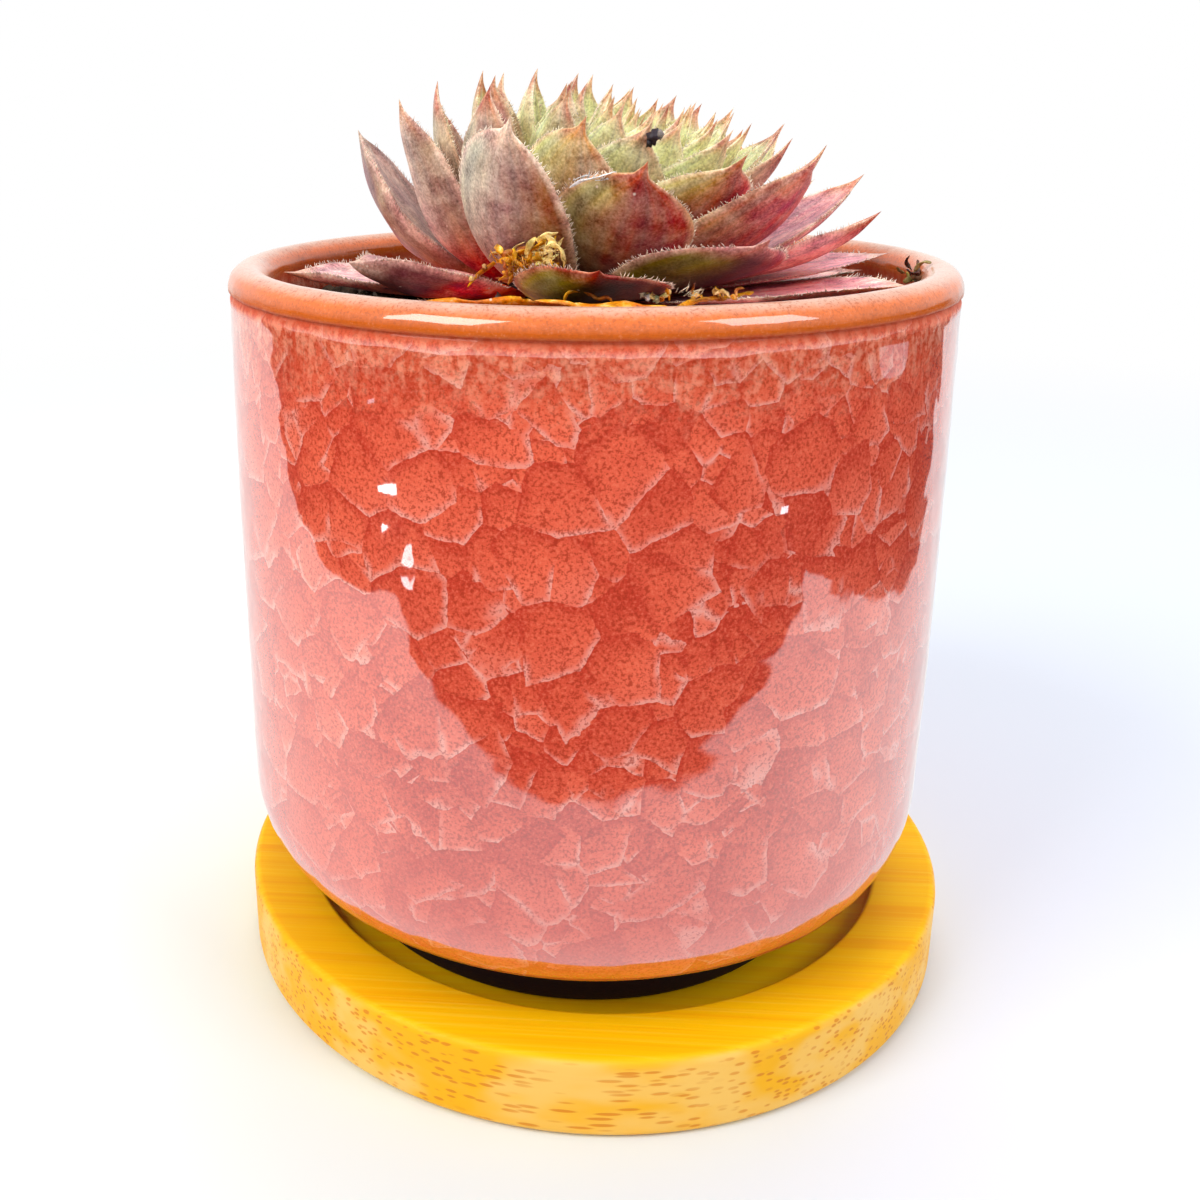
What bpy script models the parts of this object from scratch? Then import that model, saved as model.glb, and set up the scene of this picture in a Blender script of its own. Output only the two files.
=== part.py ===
"""Potted houseleek: a leaf rosette in soil, in a glazed pot that stands in a bamboo saucer.

Metres, +Z up.  The origin is at the centre of the saucer's underside, on the surface that
the whole thing stands on.  The front is at -Y and the rosette leans toward +X.
"""
import math

import bmesh
import bpy
import numpy as np

MM = 0.001
GAP = 0.3 * MM                 # left between pieces that touch

# saucer
SAUCER_RADIUS = 40.2 * MM
SAUCER_HEIGHT = 8.8 * MM
SAUCER_EDGE = 0.9 * MM         # rounding of the rim and the foot
RECESS_RADIUS = 33.2 * MM
RECESS_FLOOR = 5.75 * MM       # height of the sunk floor that the pot stands on
RECESS_EDGE = 0.6 * MM
SAUCER_STEPS = 64

# pot
POT_SHIFT = (-1.2 * MM, -1.35 * MM)      # the pot stands a little off the saucer's centre
POT_TOP = 77.5 * MM
POT_RADIUS = 37.52 * MM
NARROWING = 0.47 * MM          # how much narrower the mouth is than the belly
NARROWS_FROM = 35.0 * MM
WALL = 4.45 * MM
BEAD_RADIUS = 2.05 * MM        # rounded lip
BEAD_REACH = 37.2 * MM         # outermost radius of the lip
CREASE_DEPTH = 0.25 * MM       # fine groove under the lip
CREASE_HEIGHT = 75.1 * MM
SHOULDER_HEIGHT = 22.0 * MM    # where the wall starts to turn under
SHOULDER_REACH = 7.0 * MM
SHOULDER_DROP = 9.5 * MM
UNDER_EDGE = 13.0 * MM         # height of the lowest edge of the wall
FOOT_RADIUS = 27.2 * MM
FOOT_WIDTH = 3.6 * MM
FOOT_HEIGHT = 2.0 * MM         # hollow under the base, inside the foot ring
BASE_THICKNESS = 4.0 * MM
DRAIN_RADIUS = 3.2 * MM
POT_STEPS = 64

# soil
SOIL_LEVEL = 71.95 * MM
SOIL_STEPS = 48

# rosette
ROSETTE_CENTRE = (-3.45 * MM, -1.4 * MM, 72.95 * MM)
CROWN_RADIUS = 6.6 * MM        # short stem that every leaf grows from
CROWN_STEPS = 24
LEAF_START = 7.2 * MM          # distance of a leaf's base from the rosette's centre
FIRST_LEAF, LAST_LEAF = -8, 44           # oldest lies outermost, youngest innermost
SPIRAL_START = 7.0             # degrees; 0 faces the front, + turns to the right
SPIRAL_STEP = -137.508         # golden angle from each leaf to the next
LEAN = 21.0                    # degrees that the heart of the rosette leans to the right
NOD = 9.6                      # degrees that it leans to the front
LEFT_LIFT = 16.0               # the left side stands up, the right side spreads
RIGHT_DROP = 8.0
FRONT_LIFT = 9.0
FRONT_LIFT_AT = -28.0
RIGHT_STRETCH = 0.14
EDGE_CURL = 1.5                # degrees that a leaf's edges rise above its midline
LEAF_STATIONS = (0.0, 0.2, 0.42, 0.62, 0.78, 0.88, 0.95)   # fractions of a leaf's length
LEAF_LANES = 5                 # points across a leaf's face
HEART_MARGIN = 2.6             # degrees between the youngest leaf's midline and the bud
HEART_REACH = 21.6 * MM
HEART_LOBES = 8
HEART_LOBE = 0.9 * MM
HEART_STEPS = 32

# growth rules: leaf number, value; read between the points in straight runs
TIP_ANGLE = ((-8, 2.5), (-5, 4.0), (-2, 6.5), (0, 12.5), (3, 13.0), (5, 20.0), (8, 26.0),
             (13, 35.0), (18, 42.0), (44, 68.0), (72, 88.0))
BASE_ANGLE = ((-8, 1.5), (0, 6.5), (8, 12.0), (13, 16.0), (20, 23.0), (44, 58.0), (72, 84.0))
TIP_REACH = ((-2, 29.6), (0, 27.6), (8, 28.6), (13, 26.1), (20, 25.6), (34, 23.9), (50, 22.5))
RIGHT_REACH = ((0, 1.5), (8, 3.0), (25, 3.0), (45, 1.2))   # extra length on the right
HALF_WIDTH = ((0, 7.2), (8, 6.2), (21, 5.8), (30, 4.8), (45, 3.8))
LEAF_FOOT = ((8, 0.40), (30, 0.60), (45, 0.70))            # base width over full width
SPINE = ((8, 0.10), (30, 0.16))                            # drawn-out tip over full length
HALF_THICKNESS = ((-8, 0.44), (-4, 0.50), (2, 0.80), (8, 1.05), (25, 0.90), (45, 0.70))

# leaves that grew apart from the rule: turn and lift in degrees, length and breadth as
# factors, and how blunt the shoulders are from 0 to 1
HABITS = {
    0: (0.0, 0.5, 1.0, 1.0, 0.9),
    3: (0.0, -3.0, 1.0, 0.95, 0.0),
    5: (0.0, 0.8, 0.95, 1.15, 0.9),
    8: (-1.2, 3.0, 1.03, 1.14, 1.0),
    10: (-3.0, -1.8, 0.97, 1.1, 0.3),
    13: (-3.8, 1.5, 1.0, 1.0, 0.8),
    15: (0.0, -5.0, 1.07, 1.0, 0.0),
    16: (-4.0, 1.0, 1.0, 1.0, 0.0),
    18: (0.0, 0.0, 1.05, 1.0, 0.2),
    21: (-2.0, 0.5, 1.0, 1.05, 0.4),
    23: (0.0, 2.0, 0.97, 1.0, 0.0),
    26: (5.0, -5.0, 1.03, 1.0, 0.8),
}
PLAIN_HABIT = (0.0, 0.0, 1.0, 1.0, 0.0)


def clear_scene():
    for thing in list(bpy.data.objects):
        bpy.data.objects.remove(thing, do_unlink=True)


def new_material(name, colour, roughness, metallic=0.0):
    material = bpy.data.materials.new(name)
    material.use_nodes = True
    shader = material.node_tree.nodes["Principled BSDF"]
    shader.inputs["Base Color"].default_value = (*colour, 1.0)
    shader.inputs["Roughness"].default_value = roughness
    shader.inputs["Metallic"].default_value = metallic
    material.diffuse_color = (*colour, 1.0)
    return material


def add_object(name, mesh, material, collection):
    thing = bpy.data.objects.new(name, mesh)
    mesh.materials.append(material)
    collection.objects.link(thing)
    return thing


def arc(centre, radii, start, end, count):
    """Points on an ellipse arc in the (radius, height) plane, angles in degrees."""
    angles = np.radians(np.linspace(start, end, count))
    return [(centre[0] + radii[0] * math.cos(a), centre[1] + radii[1] * math.sin(a)) for a in angles]


def turned(name, profile, steps, material, collection, closed):
    """A profile of (radius, height) points that a Screw modifier turns about Z."""
    mesh = bpy.data.meshes.new(name)
    count = len(profile)
    edges = [(i, i + 1) for i in range(count - 1)]
    if closed:
        edges.append((count - 1, 0))
    mesh.from_pydata([(r, 0.0, z) for r, z in profile], edges, [])
    thing = add_object(name, mesh, material, collection)
    screw = thing.modifiers.new("turn", "SCREW")
    screw.steps = steps
    screw.render_steps = steps
    screw.use_merge_vertices = True
    screw.merge_threshold = 0.00001
    screw.use_smooth_shade = True
    return thing


# ---------------------------------------------------------------- saucer, pot and soil

def make_saucer(material, collection):
    rim = SAUCER_RADIUS - SAUCER_EDGE
    lip = RECESS_RADIUS + RECESS_EDGE
    profile = [(0.0, RECESS_FLOOR)]
    profile += arc((RECESS_RADIUS - RECESS_EDGE, RECESS_FLOOR + RECESS_EDGE),
                   (RECESS_EDGE, RECESS_EDGE), -90, 0, 3)
    profile += arc((lip, SAUCER_HEIGHT - RECESS_EDGE), (RECESS_EDGE, RECESS_EDGE), 180, 90, 3)
    profile += arc((rim, SAUCER_HEIGHT - SAUCER_EDGE), (SAUCER_EDGE, SAUCER_EDGE), 90, 0, 4)
    profile += arc((rim, SAUCER_EDGE), (SAUCER_EDGE, SAUCER_EDGE), 0, -90, 4)
    profile.append((0.0, 0.0))
    return turned("saucer", profile, SAUCER_STEPS, material, collection, closed=False)


def inner_wall(clearance):
    """The pot's inside from the mouth down to the edge of its floor, moved in by a clearance."""
    radius = POT_RADIUS - WALL - clearance
    floor = foot_level() + FOOT_HEIGHT + BASE_THICKNESS + clearance
    reach = SHOULDER_REACH - 0.9 * MM
    drop = SHOULDER_HEIGHT - floor
    return [(radius, SOIL_LEVEL - MM)] + arc((radius - reach, SHOULDER_HEIGHT), (reach, drop), 0, -90, 6)


def foot_level():
    return RECESS_FLOOR + GAP


def wall_radius(height):
    """The wall is straight below and draws in slightly towards the mouth."""
    rise = max(0.0, height - NARROWS_FROM) / (CREASE_HEIGHT - NARROWS_FROM)
    return POT_RADIUS - NARROWING * rise ** 2


def make_pot(material, collection):
    """Rounded lip, nearly straight wall, rounded shoulder at the bottom, foot ring and drain hole."""
    bead = (BEAD_REACH - BEAD_RADIUS, POT_TOP - BEAD_RADIUS)
    profile = arc(bead, (BEAD_RADIUS, BEAD_RADIUS), 165, -3, 8)
    profile.append((wall_radius(CREASE_HEIGHT) - CREASE_DEPTH, CREASE_HEIGHT))
    top = CREASE_HEIGHT - 0.7 * MM
    for share in (0.0, 0.25, 0.5, 0.75, 1.0):
        height = top + (NARROWS_FROM - top) * share
        profile.append((wall_radius(height), height))
    shoulder = (POT_RADIUS - SHOULDER_REACH, SHOULDER_HEIGHT)
    last = -math.degrees(math.asin((SHOULDER_HEIGHT - UNDER_EDGE) / SHOULDER_DROP))
    profile += arc(shoulder, (SHOULDER_REACH, SHOULDER_DROP), 0, last, 7)
    foot = foot_level()
    profile.append((FOOT_RADIUS + 0.6 * MM, foot + 3.2 * MM))
    profile.append((FOOT_RADIUS, foot + 0.5 * MM))
    profile.append((FOOT_RADIUS - 0.5 * MM, foot))
    profile.append((FOOT_RADIUS - FOOT_WIDTH, foot))
    profile.append((FOOT_RADIUS - FOOT_WIDTH - 0.6 * MM, foot + FOOT_HEIGHT))
    profile.append((DRAIN_RADIUS, foot + FOOT_HEIGHT))
    profile.append((DRAIN_RADIUS, foot + FOOT_HEIGHT + BASE_THICKNESS))
    profile += inner_wall(0.0)[::-1]
    pot = turned("pot", profile, POT_STEPS, material, collection, closed=True)
    pot.location = (*POT_SHIFT, 0.0)
    return pot


def make_soil(material, collection):
    """Soil fills the pot to just under the lip."""
    wall = inner_wall(GAP)
    edge = wall[0][0]
    profile = [(0.0, SOIL_LEVEL), (edge - 0.8 * MM, SOIL_LEVEL)] + wall + [(0.0, wall[-1][1])]
    soil = turned("soil", profile, SOIL_STEPS, material, collection, closed=False)
    soil.location = (*POT_SHIFT, 0.0)
    return soil


# ---------------------------------------------------------------- rosette

def rule(table, number):
    return float(np.interp(number, [row[0] for row in table], [row[1] for row in table]))


def ease(value, low, high):
    """0 below low, 1 above high, smooth between."""
    t = np.clip((value - low) / (high - low), 0.0, 1.0)
    return t * t * (3.0 - 2.0 * t)


def place(reach, rise, turn):
    """Point at a distance from the rosette's centre, at a rise and a turn in degrees.

    A rise of 0 lies flat and 90 is the heart.  Each leaf keeps to its own layer of rise,
    and every layer is bent by the same smooth rules, so leaves never cross.
    """
    from_front = np.abs((turn - FRONT_LIFT_AT + 180.0) % 360.0 - 180.0)
    front = FRONT_LIFT * (1.0 - ease(from_front, 0, 60)) * ease(rise, 6, 30) * (1.0 - ease(rise, 45, 85))
    sideways = np.sin(np.radians(turn))
    side = np.where(sideways < 0, -LEFT_LIFT * sideways, -RIGHT_DROP * sideways)
    side = side * ease(rise, 5, 24) * (1.0 - ease(rise, 20, 72))
    angle = np.radians(rise + front + side)
    flat = reach * np.cos(angle)
    x = flat * sideways
    y = -flat * np.cos(np.radians(turn))
    z = reach * np.sin(angle)
    nod = np.radians(NOD) * ease(rise, 20, 80)
    deep = y * np.cos(nod) - z * np.sin(nod)
    z = z * np.cos(nod) + y * np.sin(nod)
    lean = np.radians(LEAN) * ease(rise, 20, 80)
    across = x * np.cos(lean) + z * np.sin(lean)
    height = z * np.cos(lean) - x * np.sin(lean)
    across = across * (1.0 + RIGHT_STRETCH * ease(across, 0, 15 * MM))
    return np.stack([across, deep, height], -1) + np.array(ROSETTE_CENTRE)


def outline(u, foot, blunt, spine):
    """Half width of a leaf along its length, as a fraction: narrow foot, broad blade, sharp tip."""
    widest = 0.60 + 0.06 * blunt
    shoulder_end = 1.0 - 0.5 * spine
    grow = foot + (1 - foot) * np.sin(0.5 * np.pi * np.clip(u / widest, 0, 1)) ** 1.25
    t = np.clip((u - widest) / (shoulder_end - widest), 0, 1)
    power = 0.85 - 0.35 * blunt
    close = (1 - t) ** power * (1 + power * t)
    point = 1.1 * spine * np.clip((1 - u) / spine, 0, 1) * (u > widest)
    return np.maximum(np.where(u < widest, grow, close), point)


def leaf_faces(number, u, v):
    """Outer and inner face of a leaf on a grid: u from base to tip, v from edge to edge."""
    turn, lift, stretch, breadth, blunt = HABITS.get(number, PLAIN_HABIT)
    heading = SPIRAL_START + SPIRAL_STEP * number
    to_right = max(0.0, math.sin(math.radians(heading)))
    tip = (rule(TIP_REACH, number) * stretch + rule(RIGHT_REACH, number) * to_right) * MM
    reach = LEAF_START + (tip - LEAF_START) * u
    top = rule(TIP_ANGLE, number) + lift
    low = rule(BASE_ANGLE, number)
    rise = low + (top - low) * u ** 1.5
    flat = reach * np.maximum(np.cos(np.radians(rise)), 0.1)
    most = np.radians(15.0 + 40.0 * ease(reach, 8 * MM, 15 * MM))
    width = breadth * rule(HALF_WIDTH, number) * MM
    width = width * outline(u, rule(LEAF_FOOT, number), blunt, rule(SPINE, number))
    spread = most * np.tanh(width / flat / most)
    bearing = heading + turn + np.degrees(spread * v)
    half = np.minimum(rule(HALF_THICKNESS, number) * MM, 0.052 * reach) * (1 - u ** 6)
    half = np.degrees(half * (1 - v ** 2) ** 0.6 / reach)
    layer = rise + EDGE_CURL * v ** 2
    return place(reach, layer - half, bearing), place(reach, layer + 0.7 * half, bearing)


def make_leaf(number, material, collection):
    """Lens-shaped sections lofted from the base to a point."""
    u = np.array(LEAF_STATIONS)[:, None]
    v = np.linspace(-1.0, 1.0, LEAF_LANES)[None, :]
    outer, inner = leaf_faces(number, u, v)
    point = leaf_faces(number, np.array([[1.0]]), np.array([[0.0]]))[0][0, 0]
    mesh = bpy.data.meshes.new(f"leaf_{number - FIRST_LEAF + 1:02d}")
    bm = bmesh.new()
    rings = []
    for near, far in zip(outer, inner):
        rings.append([bm.verts.new(p) for p in list(near) + list(far[-2:0:-1])])
    for low, high in zip(rings, rings[1:]):
        for i in range(len(low)):
            j = (i + 1) % len(low)
            bm.faces.new((low[i], low[j], high[j], high[i]))
    apex = bm.verts.new(point)
    last = rings[-1]
    for i in range(len(last)):
        bm.faces.new((last[i], last[(i + 1) % len(last)], apex))
    bm.faces.new(rings[0][::-1])
    bmesh.ops.triangulate(bm, faces=bm.faces)
    bmesh.ops.recalc_face_normals(bm, faces=bm.faces)
    bm.to_mesh(mesh)
    bm.free()
    mesh.shade_smooth()
    mesh.set_sharp_from_angle(angle=math.radians(50))
    return add_object(mesh.name, mesh, material, collection)


def make_crown(material, collection):
    """Dome of the short stem, flat where it meets the soil."""
    level = SOIL_LEVEL + GAP - ROSETTE_CENTRE[2]
    cut = math.degrees(math.asin(level / CROWN_RADIUS))
    profile = arc((0.0, 0.0), (CROWN_RADIUS, CROWN_RADIUS), 90, cut, 8)
    profile[0] = (0.0, CROWN_RADIUS)
    profile.append((0.0, level))
    crown = turned("crown", profile, CROWN_STEPS, material, collection, closed=False)
    crown.location = ROSETTE_CENTRE
    return crown


def make_heart(material, collection):
    """Bud of the youngest leaves: it fills the layers above the last leaf, lobed like their tips."""
    turn = np.linspace(0.0, 360.0, HEART_STEPS, endpoint=False)
    low = rule(BASE_ANGLE, LAST_LEAF) + HEART_MARGIN
    top = rule(TIP_ANGLE, LAST_LEAF) + HEART_MARGIN
    rings = []
    for u in (0.0, 0.3, 0.6, 0.85):
        reach = LEAF_START + (HEART_REACH - LEAF_START) * u
        rings.append(place(reach, low + (top - low) * u ** 1.5, turn))
    lobes = np.cos(np.radians(HEART_LOBES * turn))
    for share, swell in ((0.0, 1.0), (0.3, -1.0), (0.6, 0.8)):
        reach = HEART_REACH + HEART_LOBE * (swell * lobes - 0.4)
        rings.append(place(reach, top + (90.0 - top) * share, turn))
    bm = bmesh.new()
    rings = [[bm.verts.new(p) for p in ring] for ring in rings]
    for under, over in zip(rings, rings[1:]):
        for i in range(HEART_STEPS):
            j = (i + 1) % HEART_STEPS
            bm.faces.new((under[i], under[j], over[j], over[i]))
    for ring, reach in ((rings[0], LEAF_START), (rings[-1], HEART_REACH)):
        pole = bm.verts.new(place(reach, 90.0, 0.0))
        for i in range(HEART_STEPS):
            bm.faces.new((ring[i], ring[(i + 1) % HEART_STEPS], pole))
    bmesh.ops.triangulate(bm, faces=bm.faces)
    bmesh.ops.recalc_face_normals(bm, faces=bm.faces)
    mesh = bpy.data.meshes.new("heart")
    bm.to_mesh(mesh)
    bm.free()
    mesh.shade_smooth()
    return add_object("heart", mesh, material, collection)


def main():
    clear_scene()
    collection = bpy.data.collections.new("potted_houseleek")
    bpy.context.scene.collection.children.link(collection)
    bamboo = new_material("bamboo", (0.80, 0.42, 0.09), 0.45)
    glaze = new_material("crackle_glaze", (0.56, 0.15, 0.12), 0.12)
    earth = new_material("potting_soil", (0.06, 0.04, 0.03), 0.95)
    stem = new_material("stem_skin", (0.35, 0.10, 0.07), 0.6)
    old_leaf = new_material("old_leaf_skin", (0.40, 0.17, 0.15), 0.5)
    leaf = new_material("leaf_skin", (0.30, 0.19, 0.14), 0.45)
    young_leaf = new_material("young_leaf_skin", (0.42, 0.48, 0.20), 0.45)
    make_saucer(bamboo, collection)
    make_pot(glaze, collection)
    make_soil(earth, collection)
    make_crown(stem, collection)
    for number in range(FIRST_LEAF, LAST_LEAF + 1):
        skin = old_leaf if number < 3 else leaf if number < 21 else young_leaf
        make_leaf(number, skin, collection)
    make_heart(young_leaf, collection)


main()
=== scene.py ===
import math
from types import SimpleNamespace as Values

import bpy
import numpy as np
from mathutils import Euler, Matrix, Vector


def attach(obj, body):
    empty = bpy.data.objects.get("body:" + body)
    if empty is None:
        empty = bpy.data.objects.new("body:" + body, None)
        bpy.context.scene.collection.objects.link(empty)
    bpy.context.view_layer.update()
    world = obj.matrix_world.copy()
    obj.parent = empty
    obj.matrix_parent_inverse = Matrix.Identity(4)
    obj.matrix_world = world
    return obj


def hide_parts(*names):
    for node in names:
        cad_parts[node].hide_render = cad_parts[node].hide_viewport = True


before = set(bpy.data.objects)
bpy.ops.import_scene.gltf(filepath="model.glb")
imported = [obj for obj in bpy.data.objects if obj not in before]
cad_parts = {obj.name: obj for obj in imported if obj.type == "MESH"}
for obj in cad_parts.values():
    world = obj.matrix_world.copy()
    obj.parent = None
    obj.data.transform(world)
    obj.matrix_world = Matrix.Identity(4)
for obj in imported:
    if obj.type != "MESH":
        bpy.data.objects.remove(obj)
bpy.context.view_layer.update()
mm = 0.001
world = bpy.context.scene.world or bpy.data.worlds.new("studio")
bpy.context.scene.world = world
bpy.context.scene.view_settings.view_transform = "Standard"
rng = np.random.default_rng(41)


class Wire:
    # one socket of a shader node, which takes part in sums

    def __init__(self, sheet, socket):
        self.sheet = sheet
        self.socket = socket

    def rise(self, low, high):
        # 0 below low, 1 above high, smooth between; low may be the larger number
        return self.sheet.node("MapRange", {0: self, 1: low, 2: high},
                               {"interpolation_type": "SMOOTHSTEP"})

    def to(self, colour, share):
        # this colour, carried towards another by a share from 0 to 1
        return self.sheet.mix(self, colour, share)


def sumOf(kind, turned=False):
    def made(wire, other):
        first, second = (other, wire) if turned else (wire, other)
        return wire.sheet.node("Math", {0: first, 1: second}, {"operation": kind})
    return made


for method, kind in (("add", "ADD"), ("sub", "SUBTRACT"), ("mul", "MULTIPLY"),
                     ("pow", "POWER"), ("gt", "GREATER_THAN")):
    setattr(Wire, f"__{method}__", sumOf(kind))
Wire.__rsub__ = sumOf("SUBTRACT", turned=True)
Wire.lower, Wire.higher = sumOf("MINIMUM"), sumOf("MAXIMUM")


class Sheet:
    # the nodes of one material, or of the world

    def __init__(self, name, block=None):
        self.block = block or bpy.data.materials.new(name)
        self.block.use_nodes = True
        self.tree = self.block.node_tree
        self.tree.nodes.clear()

    def node(self, kind, sockets=None, settings=None):
        made = self.tree.nodes.new("ShaderNode" + kind)
        for key, value in (settings or {}).items():
            setattr(made, key, value)
        for key, value in (sockets or {}).items():
            if value is None:
                continue
            socket = made.inputs[key]
            if isinstance(value, Wire):
                self.tree.links.new(value.socket, socket)
            elif socket.type == "RGBA":
                socket.default_value = (*value, 1.0)
            else:
                socket.default_value = value
        return Wire(self, made.outputs[0]) if len(made.outputs) else None

    def other(self, wire, name):
        # another output of the node that a wire comes from
        return Wire(self, wire.socket.node.outputs[name])

    def mix(self, first, second, share):
        made = self.node("Mix", {0: share, 6: first, 7: second}, {"data_type": "RGBA"})
        return self.other(made, 2)

    def vector(self, kind, first, second=None, scale=None):
        return self.node("VectorMath", {0: first, 1: second, 3: scale}, {"operation": kind})

    def point(self, x, y, z):
        return self.node("CombineXYZ", {0: x, 1: y, 2: z})

    def axes(self, vector):
        made = self.node("SeparateXYZ", {0: vector})
        return made, self.other(made, 1), self.other(made, 2)

    def inMm(self):
        place = self.other(self.node("TexCoord"), "Object")
        return self.vector("SCALE", place, scale=1000.0)

    def noise(self, place, size, detail=2.0, rough=0.5):
        # a grain of about the given size in mm, 0 to 1
        return self.node("TexNoise", {"Vector": place, "Scale": 1.0 / size,
                                      "Detail": detail, "Roughness": rough})

    def cells(self, place, size, feature="F1"):
        return self.node("TexVoronoi", {"Vector": place, "Scale": 1.0 / size},
                         {"feature": feature})

    def bump(self, height, depth):
        # height 0 to 1 stands for a depth in mm
        return self.node("Bump", {"Height": height, "Distance": depth * mm, "Strength": 1.0})

    def surface(self, varying, fixed):
        shader = self.node("BsdfPrincipled", {**varying, **fixed})
        self.node("OutputMaterial", {0: shader})
        return self.block


def ease(value, low, high):
    t = np.clip((value - low) / (high - low), 0.0, 1.0)
    return t * t * (3.0 - 2.0 * t)


def circle(count):
    return np.linspace(0, 2 * np.pi, count, endpoint=False)


def unit(vectors):
    return vectors / np.linalg.norm(vectors, axis=-1, keepdims=True)


def ripples(points, size, seed, count=5):
    # smooth waves: a sum of sines of about the given size along random directions, -1 to 1
    own = np.random.default_rng(seed)
    total = np.zeros(points.shape[:-1])
    for _ in range(count):
        way = own.normal(size=3)
        way *= own.uniform(0.7, 1.4) * 2 * math.pi / size / np.linalg.norm(way)
        total += np.sin(points @ way + own.uniform(0, 2 * math.pi))
    return total / count ** 0.5 * 0.8


def loopFaces(rows, columns):
    # quads of a form that closes on itself both ways, such as a wall with an inside
    row, column = np.meshgrid(np.arange(rows), np.arange(columns), indexing="ij")
    ahead, above = (column + 1) % columns, (row + 1) % rows
    row, above = row * columns, above * columns
    faces = np.stack([row + column, row + ahead, above + ahead, above + column], -1)
    return faces.reshape(-1, 4).tolist()


def ringFaces(rows, columns):
    # quads between closed rings, then a fan at each end to an added middle point
    around = np.arange(columns)
    ahead = (around + 1) % columns
    last = (rows - 1) * columns
    start = np.stack([ahead, around, np.full(columns, rows * columns)], -1)
    end = np.stack([last + around, last + ahead, np.full(columns, rows * columns + 1)], -1)
    return loopFaces(rows, columns)[:last] + start.tolist() + end.tolist()


def volume(points, faces):
    # sixth of the sum of the faces' triple products: positive when they face outwards
    triangles = np.array([(f[0], f[i], f[i + 1]) for f in faces for i in range(1, len(f) - 1)])
    a, b, c = (points[triangles[:, i]] for i in range(3))
    return np.einsum("ij,ij->", a, np.cross(b, c)) / 6.0


def addObject(name, data):
    made = bpy.data.objects.new(name, data)
    bpy.context.scene.collection.objects.link(made)
    return made


class Shell:
    # gathers closed forms, with a colour and a UV for each point, into one mesh

    def __init__(self):
        self.points, self.faces, self.colours, self.places, self.total = [], [], [], [], 0

    def add(self, points, faces, colours=(1.0, 1.0, 1.0), places=(0.0, 0.0)):
        points = np.asarray(points, float)
        if volume(points, faces) < 0:
            faces = [face[::-1] for face in faces]
        count = len(points)
        self.points.append(points)
        self.colours.append(np.broadcast_to(colours, (count, 3)))
        self.places.append(np.broadcast_to(places, (count, 2)))
        self.faces += [[i + self.total for i in face] for face in faces]
        self.total += count

    def rings(self, grid, **layers):
        # closed rings, grid (rows, columns, 3), with the ends fanned shut
        def capped(values):
            flat = values.reshape(-1, values.shape[-1])
            return np.concatenate([flat, values[:1].mean(1), values[-1:].mean(1)])
        layers = {name: capped(values) for name, values in layers.items()}
        self.add(capped(grid), ringFaces(*grid.shape[:2]), **layers)

    def piece(self, name, material, node):
        # the finished piece, in place of one node of the solids
        mesh = bpy.data.meshes.new(name)
        mesh.from_pydata(np.concatenate(self.points).tolist(), [], self.faces)
        corners = np.zeros(len(mesh.loops), int)
        mesh.loops.foreach_get("vertex_index", corners)
        layer = mesh.uv_layers.new(name="UVMap")
        layer.uv.foreach_set("vector", np.concatenate(self.places)[corners].ravel())
        paint = mesh.color_attributes.new("skin", "FLOAT_COLOR", "POINT")
        full = np.concatenate([np.concatenate(self.colours), np.ones((self.total, 1))], 1)
        paint.data.foreach_set("color", full.ravel())
        mesh.materials.append(material)
        mesh.shade_smooth()
        made = addObject(name, mesh)
        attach(made, "root")
        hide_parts(node)


def turnedGrid(profile, steps, middle=(0.0, 0.0)):
    # profile (radius, height) carried round a vertical axis: x = r cos a, y = r sin a
    profile = np.asarray(profile, float)
    angle = circle(steps)[None, :]
    radius, height = profile[:, :1], profile[:, 1:]
    return np.stack([middle[0] + radius * np.cos(angle), middle[1] + radius * np.sin(angle),
                     height + 0 * angle], -1)


def arc(centre, radii, start, end, count):
    return [(centre[0] + radii[0] * math.cos(a), centre[1] + radii[1] * math.sin(a))
            for a in np.radians(np.linspace(start, end, count))]


def tube(path, radii, sides=6, flat=1.0, twist=0.0):
    # rings round a path, square to it; flat squeezes them and twist turns them, in radians
    path = np.asarray(path, float)
    ahead = unit(np.gradient(path, axis=0))
    up = unit(np.cross(ahead, (0.31, 0.87, 0.38)))
    side = np.cross(ahead, up)
    turn = np.broadcast_to(twist, len(path))[:, None]
    up, side = up * np.cos(turn) + side * np.sin(turn), side * np.cos(turn) - up * np.sin(turn)
    angle = circle(sides)[None, :, None]
    radii = np.broadcast_to(radii, len(path))[:, None, None]
    ring = np.cos(angle) * up[:, None] + flat * np.sin(angle) * side[:, None]
    return path[:, None] + radii * ring


def smoothPath(points, count):
    # a rounded line through a few points (Catmull-Rom)
    points = np.asarray(points, float)
    full = np.concatenate([2 * points[:1] - points[1:2], points, 2 * points[-1:] - points[-2:-1]])
    t = np.linspace(0, len(points) - 1, count)
    at = np.minimum(t.astype(int), len(points) - 2)
    s = (t - at)[:, None]
    a, b, c, d = (full[at + i] for i in range(4))
    return 0.5 * (2 * b + (c - a) * s + (2 * a - 5 * b + 4 * c - d) * s ** 2
                  + (3 * b - a - 3 * c + d) * s ** 3)


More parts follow.
